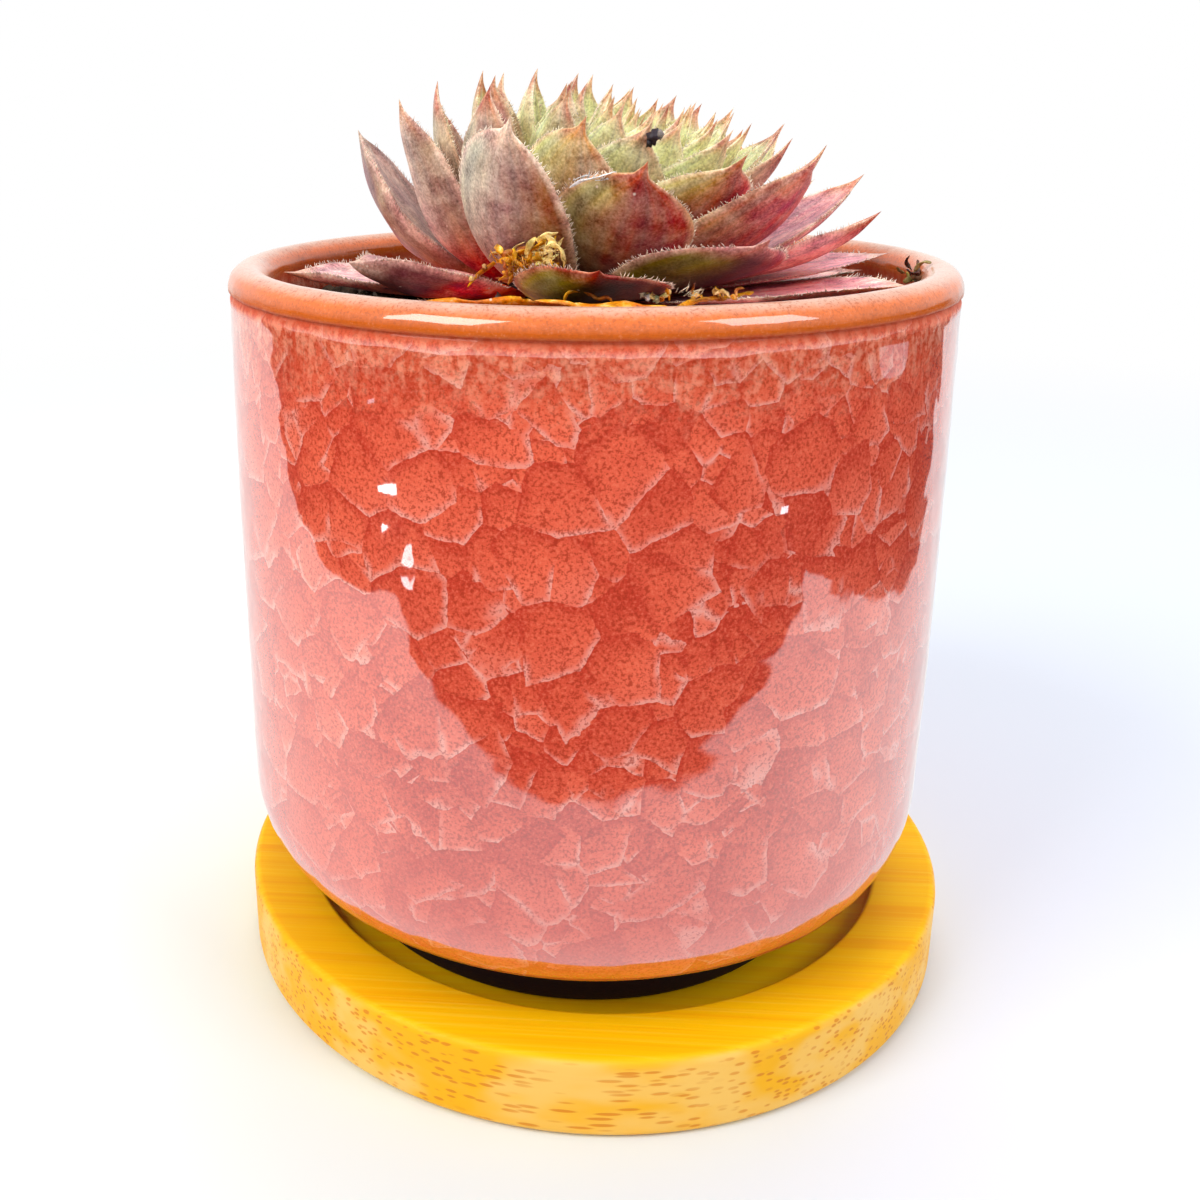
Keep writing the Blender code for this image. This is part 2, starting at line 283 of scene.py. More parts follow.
glazeLook = {
    # plates: size in mm, share left open, offset of the pattern
    "plates": ((3.3, 0, 23), (4.5, 0.4, 11), (5.6, 0.55, 3)),
    "deep": (0.64, 0.044, 0.019), "body": (1, 0.15, 0.07), "pale": (1, 0.5, 0.42),
    "speck": (0.42, 0.03, 0.008), "bright": (1, 0.24, 0.13),
    "rim": (0.88, 0.165, 0.003), "rimTop": (0.7, 0.4, 0.28), "rimPale": (0.84, 0.68, 0.58),
    "rimWear": (0.46, 0.08, 0.006),
    "crease": (0.5, 0.055, 0.002), "dark": (0.5, 0.07, 0.015), "frost": (0.98, 0.46, 0.28),
    "clay": (0.84, 0.19, 0.055), "clayDark": (0.48, 0.11, 0.03), "footDark": (0.012, 0.004, 0.008),
    # heights in mm: the groove under the lip, the frost, where the painted shade low on the wall
    # starts and where it is full, the glaze's lower edge and where the painted shade on the foot
    # starts
    "creaseLevel": 75.1, "frostLevel": 72, "deepFrom": 36, "deepTo": 15, "glazeLine": 13.6,
    "footLine": 12.5, "jag": 0.55, "relief": 0.03, "lipDull": 0.68,
}


def glazeMaterial(look):
    # crystals lie as overlapping plates: each is painted darker, as shade, at the side that
    # tucks under its neighbour, with a painted shadow along that edge, and ends in a thin pale
    # line at the other
    sheet = Sheet("crackle_glaze")
    place = sheet.inMm()
    _, _, height = sheet.axes(place)
    jag = sheet.other(sheet.noise(place, 1 / 0.7), "Color")
    jag = sheet.vector("SCALE", sheet.vector("SUBTRACT", jag, (0.5, 0.5, 0.5)), scale=look.jag)
    ragged = sheet.vector("ADD", place, jag)
    layers = None
    for size, gaps, offset in look.plates:
        at = sheet.vector("ADD", ragged, (offset, -offset, 2 * offset))
        cell = sheet.cells(at, size)
        lot = sheet.other(cell, "Color")
        edge = sheet.cells(at, size, "DISTANCE_TO_EDGE")
        way = sheet.vector("NORMALIZE", sheet.vector("SUBTRACT", lot, (0.5, 0.5, 1.05)))
        off = sheet.vector("SUBTRACT", at, sheet.other(cell, "Position"))
        slope = sheet.other(sheet.vector("DOT_PRODUCT", off, way), "Value") * (1 / size)
        shade = sheet.axes(lot)[1] * 0.45 + slope.rise(-0.5, 0.5) * 0.55
        bright = (1 - edge.rise(0, 0.16)) ** 1.8 * slope.rise(0, 0.3)
        # painted shadow along the edge where the plate tucks under its neighbour
        under = (1 - edge.rise(0, 0.2)) * slope.rise(0.02, -0.3)
        made = shade, bright, under
        if layers:
            here = sheet.axes(lot)[0] > gaps
            made = [old + here * (new - old) for old, new in zip(layers, made)]
        layers = made
    plate, rim, plateShadow = layers
    cloud = sheet.noise(place, 16)
    patch = sheet.noise(place, 2.6)
    grain = sheet.noise(place, 0.3, 2, 0.7)
    fleck = sheet.noise(place, 0.8, 2, 0.6)
    tone = plate * 0.6 + (cloud - 0.5) * 0.8 + (patch - 0.5) * 0.7
    tone = tone + height.rise(40, 72) * 0.14 + 0.22
    colour = sheet.mix(look.deep, look.body, tone).to(look.deep, plateShadow * 0.8)
    edges = rim * patch.rise(0.28, 0.6) * 0.66 + plate ** 4 * 0.12
    colour = colour.to(look.pale, edges.lower(0.85))
    colour = colour.to(look.speck, grain.rise(0.5, 0.63) * 0.7)
    colour = colour.to(look.bright, grain.rise(0.47, 0.32) * 0.4)
    # painted shade: the wall darkens towards the foot
    colour = colour.to(look.deep, height.rise(look.deepFrom, look.deepTo) * 0.45)
    # under the lip the crystals are fine and frosty, with brown runs between them
    near = height - look.frostLevel + (fleck - 0.5) * 5 + (patch - 0.5) * 5
    run = sheet.noise(sheet.vector("MULTIPLY", place, (1, 1, 0.22)), 0.9, 2, 0.6)
    frosty = sheet.mix(look.dark, look.frost, (run * 0.35 + fleck * 0.65).rise(0.42, 0.6))
    colour = colour.to(frosty, near.rise(-5, 2.5) * 0.42)
    # level is the height above the crease, a little uneven
    level = height - look.creaseLevel + (cloud - 0.5) * 0.3 + (fleck - 0.5) * 0.5
    # painted shade: the groove under the lip is darkened with the crease colour
    colour = colour.to(look.crease, level.rise(-1, -0.1) * 0.75)
    # the top of the lip is paler: partly its glaze, partly painted reflection of the light above
    lip = sheet.mix(look.rim, look.rimTop, level.rise(1.5, 2.4))
    lip = lip.to(look.rimWear, grain.rise(0.5, 0.66) * 0.5 + (1 - patch.rise(0.3, 0.6)) * 0.25)
    # painted shade: the lower half of the lip, which faces down, is darkened
    lip = lip.to(look.rimWear, level.rise(1.8, 0.1) * 0.78)
    lip = lip.to(look.frost, grain.rise(0.44, 0.26) * 0.18)
    # painted reflection: the lip turns pale where it is seen edge-on
    grazing = sheet.other(sheet.node("LayerWeight", {0: 0.5}), "Facing")
    lip = lip.to(look.rimPale, grazing.rise(0.72, 1) * 0.5)
    onLip = level.rise(-0.05, 0.35)
    groove = level.rise(-1.5, -0.6) * level.rise(0.6, 0.1)
    dull = level.rise(1.1, 0.4) * (1 - look.lipDull) + look.lipDull
    # bare clay under the glaze's lower edge; the foot below it is painted near-black as shade
    bare = (height - look.glazeLine + (fleck - 0.5) * 0.7).rise(0.12, -0.12)
    clay = sheet.mix(look.clay, look.clayDark, sheet.noise(place, 0.5, 4, 0.7).rise(0.35, 0.75))
    # painted shade on the foot and underside
    clay = clay.to(look.footDark, height.rise(look.footLine + 0.25, look.footLine - 0.3))
    relief = plate * 0.4 + rim * 0.35 + sheet.noise(place, 2.4) * 0.5
    relief = relief * (1 - bare) + bare * grain * 2
    return sheet.surface(
        {"Base Color": colour.to(lip, onLip).to(clay, bare),
         "Roughness": bare * 0.5 + groove * 0.4 + 0.22,
         "Coat Weight": (1 - bare) * (1 - onLip * dull) * (1 - groove * 0.95),
         "Normal": sheet.bump(relief, look.relief)},
        {"IOR": 1.28, "Coat Roughness": 0.03, "Coat IOR": 2.6})


bambooLook = {
    "gold": (0.98, 0.56, 0), "honey": (0.94, 0.43, 0), "straw": (1, 0.66, 0.04),
    "endPale": (0.95, 0.56, 0.12), "endGold": (0.95, 0.46, 0.004), "endDark": (0.72, 0.22, 0.008),
    "fibre": 0.36, "fibreLength": 2.4,
}


def bambooMaterial(look):
    # fibres run along X: streaks on top, dashes on the front edge and dots at the ends
    sheet = Sheet("bamboo")
    place = sheet.inMm()
    x, y, z = sheet.axes(place)
    drift = sheet.point(x * 0.02, y, z)
    wander = sheet.noise(drift, 9, 1) - 0.5
    streakAt = sheet.point(x * 0.012, y + wander * 1.5, z)
    wide = sheet.noise(streakAt, 1.9, 3, 0.6)
    fine = sheet.noise(streakAt, 0.38, 2, 0.6)
    bundleAt = sheet.point(x * (look.fibre / look.fibreLength), y, z * 1.15)
    bundle = sheet.cells(bundleAt, look.fibre * 1.7)
    dots = bundle.rise(0.42, 0.24) * sheet.axes(sheet.other(bundle, "Color"))[0].rise(0.05, 0.35)
    patch = sheet.noise(sheet.point(x * 0.35, y, z), 4.5)
    # the edge and the recess wall cut across the fibres, the faces run along them
    _, _, up = sheet.axes(sheet.other(sheet.node("NewGeometry"), "Normal"))
    flatness = up.higher(up * -1).rise(0.45, 0.92)
    top = sheet.mix(look.honey, look.gold, wide.rise(0.3, 0.62))
    top = top.to(look.straw, fine.rise(0.5, 0.75) * 0.45)
    top = top.to(look.honey, fine.rise(0.42, 0.25) * 0.6)
    side = sheet.mix(look.endPale, look.endGold, patch.rise(0.36, 0.6))
    side = side.to(look.endDark, dots * patch.rise(0.22, 0.5) * 0.8)
    colour = side.to(top, flatness)
    relief = fine * 0.6 + wide * 0.4 - dots * (1 - flatness) * 0.5
    return sheet.surface(
        {"Base Color": colour, "Roughness": 0.62 - fine * 0.22,
         "Normal": sheet.bump(relief, 0.03)},
        {"IOR": 1.28})


def soilMaterial():
    sheet = Sheet("potting_soil")
    place = sheet.inMm()
    clod = sheet.noise(place, 1.6, 4.0, 0.7)
    speck = sheet.cells(place, 0.8)
    colour = sheet.mix((0.018, 0.012, 0.008), (0.085, 0.052, 0.03), clod.rise(0.3, 0.72))
    lot, _, _ = sheet.axes(sheet.other(speck, "Color"))
    colour = colour.to((0.32, 0.22, 0.12), (lot > 0.93) * speck.rise(0.5, 0.3) * 0.8)
    colour = colour.to((0.075, 0.09, 0.02), sheet.noise(place, 5.0).rise(0.55, 0.72) * 0.6)
    return sheet.surface({"Base Color": colour, "Normal": sheet.bump(clod, 0.3)},
                         {"Roughness": 0.95})


def skinMaterial(name, mottle, gloss, body):
    # the skin attribute holds each leaf's colour; this adds streaks along the leaf,
    # mottling, fine dark pores and a few pale flecks
    sheet = Sheet(name)
    place = sheet.inMm()
    skin = sheet.node("Attribute", None, {"attribute_name": "skin"})
    along, across, _ = sheet.axes(sheet.other(sheet.node("TexCoord"), "UV"))
    lines = sheet.point(along * 1.4, across * 9, along * 0)
    streak = sheet.noise(lines, 0.9, 2) - 0.5
    cloud = sheet.noise(place, 1.7, 3, 0.6) - 0.5
    blotch = sheet.noise(place, 3.6, 2, 0.5) - 0.5
    pore = sheet.noise(place, 0.26, 2, 0.6) - 0.5
    tone = (cloud * 1.7 + streak + blotch * 0.9) * mottle + pore * 1.5 + 1.02
    colour = sheet.node("HueSaturation", {
        "Color": skin, "Value": tone, "Saturation": 1.05 - pore * 0.5 + streak * 0.6 - cloud * 0.9,
        "Hue": blotch * 0.1 + 0.5 + cloud * 0.08})
    fleck = sheet.cells(place, 1.5)
    lot, _, _ = sheet.axes(sheet.other(fleck, "Color"))
    dust = (lot > 0.62) * fleck.rise(0.12, 0.05)
    colour = colour.to((0.9, 0.78, 0.68), dust * 0.85)
    return sheet.surface(
        {"Base Color": colour, "Roughness": cloud * 0.3 + gloss,
         "Normal": sheet.bump(pore * 0.5 + cloud * 0.6, 0.13)},
        {"Subsurface Weight": body, "Subsurface Radius": (1, 0.35, 0.2),
         "Subsurface Scale": 1.2 * mm, "IOR": 1.4})


skins = {name: skinMaterial(name, mottle, 0.44, body) for name, mottle, body in (
    ("old_leaf_skin", 1.1, 0.08), ("leaf_skin", 1.0, 0.08), ("young_leaf_skin", 0.9, 0.12))}
glaze = glazeMaterial(Values(**glazeLook))
bamboo = bambooMaterial(Values(**bambooLook))
soil = soilMaterial()
stem = skinMaterial("stem_skin", 0.9, 0.5, 0.05)
print("materials: glaze, bamboo, soil and leaf skins")


# a rule is a line of pairs, leaf number and value, read in straight runs between them
growth = {
    "centre": (-3.45 * mm, -1.4 * mm, 72.95 * mm), "start": 7.2 * mm,
    "first": -8, "last": 44, "youngest": 72, "spiralStart": 7, "spiralStep": -137.508,
    "lean": 21, "nod": 9.6, "leftLift": 16, "rightDrop": 8, "frontLift": 9,
    "frontLiftAt": -28, "rightStretch": 0.14, "edgeCurl": 1.5,
    "tipAngle": ((-8, 2.5), (-5, 4), (-2, 6.5), (0, 12.5), (3, 13), (5, 20), (8, 26), (13, 35),
                 (18, 42), (44, 68), (72, 88)),
    "baseAngle": ((-8, 1.5), (0, 6.5), (8, 12), (13, 16), (20, 23), (44, 58), (72, 84)),
    "tipReach": ((-2, 29.6), (0, 27.6), (8, 28.6), (13, 26.1), (20, 25.6), (34, 23.9),
                 (50, 22.5), (72, 20.7)),
    "rightReach": ((0, 1.5), (8, 3), (25, 3), (45, 1.2)),
    "halfWidth": ((0, 7.2), (8, 6.2), (21, 5.8), (30, 4.8), (45, 3.8), (60, 2.5), (72, 1.3)),
    "foot": ((8, 0.4), (30, 0.6), (45, 0.7)), "spine": ((8, 0.1), (30, 0.16), (50, 0.18)),
    "halfThickness": ((-8, 0.44), (-4, 0.5), (2, 0.8), (8, 1.05), (25, 0.9), (45, 0.7), (72, 0.4)),
    # how blunt the shoulders are: below 0 they are hollow, as on the young leaves
    "blunt": ((24, 0), (34, -0.7), (72, -0.8)),
    # leaves that grew apart from the rules: turn and lift in degrees, length and breadth as
    # factors, and how much blunter they are
    "habits": {0: (0, 0.5, 1, 1, 0.9), 3: (0, -3, 1, 0.95, 0), -3: (0, 1.5, 1.06, 1.3, 0),
               2: (0, -0.6, 1, 1.25, 0.2), 5: (0, 3.4, 0.89, 1.22, 0.9),
               8: (0.6, 3.2, 1.03, 1.1, 0.72), 10: (-3, -1.8, 0.97, 1.1, 0.3),
               13: (-3.8, 1.5, 1, 1.04, 0.66), 15: (0, -5, 1.07, 1, 0), 16: (-4, 1, 1, 1, 0),
               18: (0, 0, 1.05, 1, 0.2), 21: (-2, 0.5, 1, 1.05, 0.4), 23: (0, 2, 0.97, 1, 0),
               26: (5, -5, 1.03, 1, 0.8)},
    # leaves that bow sideways halfway along, in degrees
    "bows": {8: -4.5},
    "stations": 42, "lanes": 19, "wave": 0.35, "keel": 0.22,
    "hairEvery": 0.23 * mm, "hairRadius": 0.065 * mm, "hairFrom": 0.3, "hairLength": (0.22, 0.58),
    "hairColour": (0.98, 0.86, 0.7),
}
g = Values(**growth)


def rule(key, number):
    table = growth[key]
    return float(np.interp(number, [row[0] for row in table], [row[1] for row in table]))


def place(reach, rise, turn):
    # a point at a reach from the rosette's centre, a rise and a turn (degrees): each layer
    # of rise is bent by the same smooth rules, so the leaves never cross
    fromFront = np.abs((turn - g.frontLiftAt + 180) % 360 - 180)
    front = g.frontLift * (1 - ease(fromFront, 0, 60))
    front = front * ease(rise, 6, 30) * (1 - ease(rise, 45, 85))
    sideways = np.sin(np.radians(turn))
    side = np.where(sideways < 0, -g.leftLift * sideways, -g.rightDrop * sideways)
    side = side * ease(rise, 5, 24) * (1 - ease(rise, 20, 72))
    angle = np.radians(rise + front + side)
    x = reach * np.cos(angle) * sideways
    y = -reach * np.cos(angle) * np.cos(np.radians(turn))
    z = reach * np.sin(angle)
    nod = np.radians(g.nod) * ease(rise, 20, 80)
    deep = y * np.cos(nod) - z * np.sin(nod)
    z = z * np.cos(nod) + y * np.sin(nod)
    lean = np.radians(g.lean) * ease(rise, 20, 80)
    across = x * np.cos(lean) + z * np.sin(lean)
    height = z * np.cos(lean) - x * np.sin(lean)
    across = across * (1 + g.rightStretch * ease(across, 0, 15 * mm))
    return np.stack([across, deep, height], -1) + np.array(g.centre)


def leafOutline(u, foot, blunt, spine):
    # half width along the leaf: a quarter sine to the widest place, then a shoulder that
    # closes, sooner on a blunt leaf, into a hollow-sided spine
    widest = 0.57 + 0.07 * max(blunt, 0)
    grow = foot + (1 - foot) * np.sin(0.5 * np.pi * np.clip(u / widest, 0, 1)) ** 1.25
    end = 1 - (0.3 + 0.45 * min(max(blunt, 0), 1)) * spine
    t = np.clip((u - widest) / (end - widest), 0, 1)
    power = 1.16 - 0.5 * blunt
    close = (1 - t) ** power * (1 + power * t)
    point = 1.7 * spine * np.clip((1 - u) / spine, 0, 1) ** 1.35 * (u > widest)
    return np.where(u < widest, grow, (close ** 3 + point ** 3) ** (1 / 3))


def leafFaces(number, u, v):
    # outer and inner face: u runs from base to tip, v from edge to edge; the midline rises
    # as a power of u, and the thickness is a lens with a low keel along the outside
    turn, lift, stretch, breadth, blunt = g.habits.get(number, (0, 0, 1, 1, 0))
    heading = g.spiralStart + g.spiralStep * number
    toRight = max(0, math.sin(math.radians(heading)))
    tip = (rule("tipReach", number) * stretch + rule("rightReach", number) * toRight) * mm
    reach = g.start + (tip - g.start) * u
    low = rule("baseAngle", number)
    rise = low + (rule("tipAngle", number) + lift - low) * u ** 1.5
    flat = reach * np.maximum(np.cos(np.radians(rise)), 0.1)
    most = np.radians(15 + 40 * ease(reach, 8 * mm, 15 * mm))
    blunt = blunt + rule("blunt", number)
    shape = leafOutline(u, rule("foot", number), blunt, rule("spine", number))
    width = breadth * rule("halfWidth", number) * mm * shape
    spread = most * np.tanh(width / flat / most)
    bearing = heading + turn + g.bows.get(number, 0) * np.sin(np.pi * u) + np.degrees(spread * v)
    half = np.minimum(rule("halfThickness", number) * mm, 0.052 * reach) * (1 - u ** 6)
    half = np.degrees(half * (1 - v ** 2) ** 0.6 / reach)
    keel = 1 + g.keel * np.exp(-(v / 0.16) ** 2) * ease(u, 0.2, 0.6)
    keel = keel - 0.12 * ease(np.abs(v), 0.2, 0.6)
    seed = number % 7
    wave = g.wave * np.sin(5 * v + 7 * u + seed) * np.sin(9 * u + 2 * seed)
    wave = wave * ease(u, 0.1, 0.4) * (1 - ease(u, 0.85, 1))
    layer = rise + g.edgeCurl * v ** 2 * np.minimum(1.6 * shape, 1) + wave
    return place(reach, layer - half * keel, bearing), place(reach, layer + 0.7 * half, bearing)


# colours, in percent, of a leaf's outer face from its left edge to its right one and of
# its other parts; the dark bases and the dark row at 3 are partly painted shade deep between
# the leaves
partNames = ("left", "middle", "right", "base", "tip", "edge", "inner")
leafColours = {
    -8: ((80, 48, 40), (76, 42, 38), (76, 40, 36), (80, 16, 7), (62, 30, 22),
         (90, 62, 52), (86, 52, 48)),
    -2: ((92, 56, 54), (78, 32, 33), (76, 30, 31), (84, 11, 4), (72, 40, 30),
         (94, 70, 62), (90, 50, 50)),
    3: ((26, 10, 11), (22, 8, 9), (28, 9, 8), (70, 8, 3.5), (62, 40, 33),
        (88, 55, 48), (60, 32, 32)),
    8: ((56, 47, 34), (46, 29, 24), (40, 16, 10), (36, 12, 8), (58, 22, 14),
        (84, 56, 46), (48, 35, 26)),
    14: ((50, 40, 22), (46, 20, 15), (48, 17, 13), (26, 6, 5), (62, 22, 15),
         (80, 50, 38), (50, 32, 24)),
    21: ((58, 58, 24), (58, 40, 22), (60, 38, 25), (26, 16, 5), (64, 28, 14),
         (86, 62, 40), (56, 56, 24)),
    30: ((64, 68, 36), (68, 63, 37), (70, 56, 38), (34, 38, 11), (70, 35, 22),
         (92, 74, 52), (66, 69, 37)),
    44: ((76, 77, 44), (78, 74, 45), (80, 70, 48), (46, 50, 18), (78, 43, 28),
         (96, 84, 62), (76, 77, 45)),
}
# leaves whose colours differ from the table: partly their own skin and partly painted light
# and shade, as the near-black faces of 0, 3 and 5 are partly painted shadow and the pale inner
# faces of -3 and 2 are painted light
ownColoursLightAndShade = {
    -3: dict(inner=(100, 46, 48), left=(92, 44, 46), middle=(92, 40, 42)),
    0: dict(left=(40, 34, 4), middle=(4.5, 1.4, 1.6), right=(14, 2.5, 2), edge=(84, 36, 26),
            base=(30, 5, 2), tip=(36, 7, 5), inner=(40, 24, 10)),
    2: dict(inner=(100, 42, 45), middle=(88, 34, 36), left=(90, 40, 42)),
    3: dict(left=(20, 7, 9), middle=(16, 5, 7), right=(18, 5, 5), base=(95, 7.5, 3)),
    5: dict(left=(22, 20, 3), middle=(8.5, 1.2, 2.2), right=(38, 6, 8), base=(10, 5, 2),
            edge=(90, 56, 50), tip=(66, 28, 26)),
    6: dict(left=(48, 42, 38), middle=(44, 23, 25), right=(36, 20, 15), tip=(50, 36, 30),
            base=(40, 20, 12)),
    7: dict(left=(60, 34, 34), middle=(50, 22, 22), right=(48, 18, 16), inner=(52, 26, 27)),
    8: dict(left=(58, 54, 42), middle=(44, 27, 24), right=(36, 15, 8.5), base=(50, 38, 32),
            tip=(72, 46, 36), edge=(90, 66, 54)),
    10: dict(left=(82, 42, 42), middle=(72, 24, 23), right=(54, 17, 5), inner=(80, 38, 40),
             base=(36, 11, 2)),
    11: dict(left=(62, 48, 44), middle=(58, 43, 38), right=(42, 27, 20), base=(54, 8, 7),
             tip=(66, 34, 22)),
    13: dict(left=(50, 44, 19), middle=(44, 14, 11), right=(54, 12, 11), base=(11, 2.5, 3),
             tip=(50, 13, 8), edge=(82, 48, 30)),
    15: dict(left=(74, 36, 36), middle=(62, 22, 24), right=(50, 12, 13), inner=(66, 30, 33)),
    16: dict(left=(50, 44, 32), middle=(50, 32, 27), right=(56, 36, 24), tip=(62, 22, 14),
             edge=(86, 60, 46)),
    18: dict(left=(60, 26, 17), middle=(58, 12, 14), right=(58, 11, 15), tip=(64, 24, 20),
             inner=(62, 28, 26), base=(14, 2, 2.5)),
    19: dict(left=(70, 62, 50), middle=(60, 52, 36), right=(60, 46, 34), base=(34, 37, 12),
             tip=(62, 22, 15)),
    23: dict(left=(72, 42, 32), middle=(68, 26, 26), right=(64, 24, 26), inner=(70, 34, 34),
             base=(20, 3, 4)),
    24: dict(left=(48, 26, 26), middle=(44, 23, 23), right=(44, 22, 21)),
    26: dict(left=(60, 50, 18), middle=(58, 20, 13), right=(66, 13, 14), base=(14, 2, 2)),
    28: dict(left=(60, 40, 32), middle=(60, 32, 29), right=(60, 34, 30)),
    31: dict(left=(62, 46, 32), middle=(62, 36, 29), right=(64, 36, 31)),
}
# how far up the base's colour reaches: full to the first share of the length, none past the
# second, and how strong it is on the inner face; the base colour is partly the leaves' own
# crimson and partly painted shade, near-black on 5, 10, 13, 18, 23 and 26
baseAndShadeReach = {-2: (0.35, 0.6, 1.0), 0: (0.05, 0.2, 0.6), 3: (0.5, 0.68, 1.0), 5: (0.1, 0.4, 0.6),
             6: (0.14, 0.4, 0.5), 10: (0.15, 0.55, 0.5), 11: (0.16, 0.46, 0.5),
             13: (0.22, 0.68, 0.6), 18: (0.18, 0.6, 0.5), 23: (0.18, 0.6, 0.5),
             26: (0.18, 0.6, 0.5)}


def palette(number):
    rows = sorted(leafColours)
    table = np.array([leafColours[row] for row in rows])
    own = {name: [np.interp(number, rows, table[:, index, channel]) for channel in range(3)]
           for index, name in enumerate(partNames)}
    own.update(ownColoursLightAndShade.get(number, {}))
    return {name: np.array(colour) / 100.0 for name, colour in own.items()}


def paintLeaf(number, u, v, inside):
    # across: left to middle to right; along: base to tip; then a thin band at the edges
    own = palette(number)
    low, high, within = baseAndShadeReach.get(number, (0.12, 0.45, 0.5))

    def blend(under, over, share):
        return under + (over - under) * np.asarray(share)[..., None]
    shape = np.broadcast(u, v).shape
    colour = np.broadcast_to(own["middle"], shape + (3,))
    colour = blend(colour, own["left"], ease(-v + 0.2 * u, 0.05, 0.95) + 0 * u)
    colour = blend(colour, own["right"], ease(v + 0.25 * (1 - u), 0.1, 0.85) + 0 * u)
    colour = blend(colour, own["inner"], inside * (0.9 + 0 * u))
    # painted shade: the dark base colour deep between the leaves
    baseAndShade = (1 - ease(u, low, high)) * (1 - (1 - within) * inside)
    colour = blend(colour, own["base"], baseAndShade + 0 * v)
    colour = blend(colour, own["tip"], ease(u + 0.05 * np.abs(v), 0.84, 0.97))
    return blend(colour, own["edge"], ease(np.abs(v), 0.86, 1.0) * ease(u, 0.25, 0.45) * 0.75)


def hairs(shell, roots, ways, lengths, colours):
    # each hair is a thin three-sided spike that bends a little towards its own side
    count = len(roots)
    ways = unit(ways)
    across = unit(np.cross(ways, rng.normal(size=(count, 3))))
    third = np.cross(ways, across)
    levels = ((-0.1, 1.0, 0.0), (0.5, 0.62, 0.05), (1.0, 0.06, 0.16))
    rings = []
    for along, thick, bend in levels:
        middle = roots + (ways * along + across * bend) * lengths[:, None]
        for a in circle(3):
            spoke = math.cos(a) * across + math.sin(a) * third
            rings.append(middle + g.hairRadius * thick * spoke)
    points = np.stack(rings, 1)
    spike = [(2, 1, 0), (6, 7, 8)]
    spike += [(a, b, b + 3, a + 3) for a, b in ((0, 1), (1, 2), (2, 0), (3, 4), (4, 5), (5, 3))]
    faces = [tuple(9 * i + corner for corner in face) for i in range(count) for face in spike]
    shade = np.repeat(np.array((1.0, 1.08, 1.15)), 3)[None, :, None] * colours[:, None]
    shell.add(points.reshape(-1, 3), faces, shade.reshape(-1, 3))


def leafEdgeHairs(shell, number, edge):
    # hairs stand along both edges, from a third of the way up to where the spine starts
    for side in (-1.0, 1.0):
        u = np.linspace(g.hairFrom, 1 - 0.9 * rule("spine", number), 200)[:, None]
        line = leafFaces(number, u, np.array([[side]]))[0][:, 0]
        inner = leafFaces(number, u, np.array([[side * 0.86]]))[0][:, 0]
        run = np.concatenate([[0.0], np.cumsum(np.linalg.norm(np.diff(line, axis=0), axis=1))])
        count = int(run[-1] / g.hairEvery)
        at = (np.arange(count) + rng.uniform(0.1, 0.9, count)) * g.hairEvery
        pick = np.clip(np.searchsorted(run, at), 1, 199)
        outward = unit(line[pick] - inner[pick])
        ahead = unit(line[pick] - line[pick - 1])
        ways = outward + ahead * rng.uniform(0.2, 0.9, (count, 1))
        ways = ways + rng.normal(0, 0.25, (count, 3))
        lengths = rng.uniform(*g.hairLength, count) * mm * np.interp(number, (10, 40), (1, 0.7))
        tone = rng.uniform(0.8, 1.05, (count, 1)) * (0.3 * edge + 0.7 * np.array(g.hairColour))
        hairs(shell, line[pick] - outward * 0.05 * mm, ways, lengths, tone)


def leafForm(shell, number):
    t = np.linspace(0.0, 1.0, g.stations)
    u = 0.998 * (0.5 * t + 0.5 * (1 - (1 - t) ** 2))[:, None]
    v = np.sin(np.linspace(-0.5, 0.5, g.lanes) * np.pi)[None, :]
    outer, inner = leafFaces(number, u, v)

    def around(face, back):
        # across the outer face and back along the inner one
        return np.concatenate([face, back[:, -2:0:-1]], 1)
    ink = [paintLeaf(number, u, v, inside) for inside in (0.0, 1.0)]
    spot = np.stack(np.broadcast_arrays(u, 0.5 + 0.5 * v), -1)
    shell.rings(around(outer, inner), colours=around(*ink), places=around(spot, spot))
    leafEdgeHairs(shell, number, palette(number)["edge"])


def strip(shell, width, flat, colour, *path, twist=1.5):
    # a dried shred: a flat crumpled tube that thins to both ends
    line = smoothPath(np.array(path) * mm, 28)
    t = np.linspace(0, 1, len(line))
    grid = tube(line, width * mm * (0.25 + 0.75 * np.sin(np.pi * t) ** 0.6), 8, flat, twist * t)
    grid = grid + 0.22 * width * mm * ripples(grid, 2.2 * width * mm, len(path))[..., None]
    tone = 1.0 + 0.35 * ripples(grid, 1.1 * mm, 3)
    shell.rings(grid, colours=np.clip(tone[..., None] * np.array(colour), 0.01, 1.0))


def crumb(shell, middle, size, colour):
    # a ball of few faces pushed in and out
    height = np.linspace(-0.9, 0.9, 5)
    ball = turnedGrid(np.stack([np.sqrt(1 - height ** 2), height], -1), 6)
    ball = ball * (1 + 0.22 * rng.normal(size=(5, 6, 1)))
    shell.rings((ball * size + middle) * mm, colours=np.broadcast_to(colour, ball.shape))


def tuft(shell, middle, reach, count, length, aim, colour):
    # loose hairs round a point, all leaning about the same way; sizes in mm
    roots = (np.array(middle) + rng.uniform(-1, 1, (count, 3)) * np.array(reach)) * mm
    ways = np.array(aim) + rng.normal(0, 0.45, (count, 3))
    tone = rng.uniform(0.7, 1.15, (count, 1)) * np.array(colour)
    hairs(shell, roots, ways, rng.uniform(0.6, 1.2, count) * length * mm, tone)


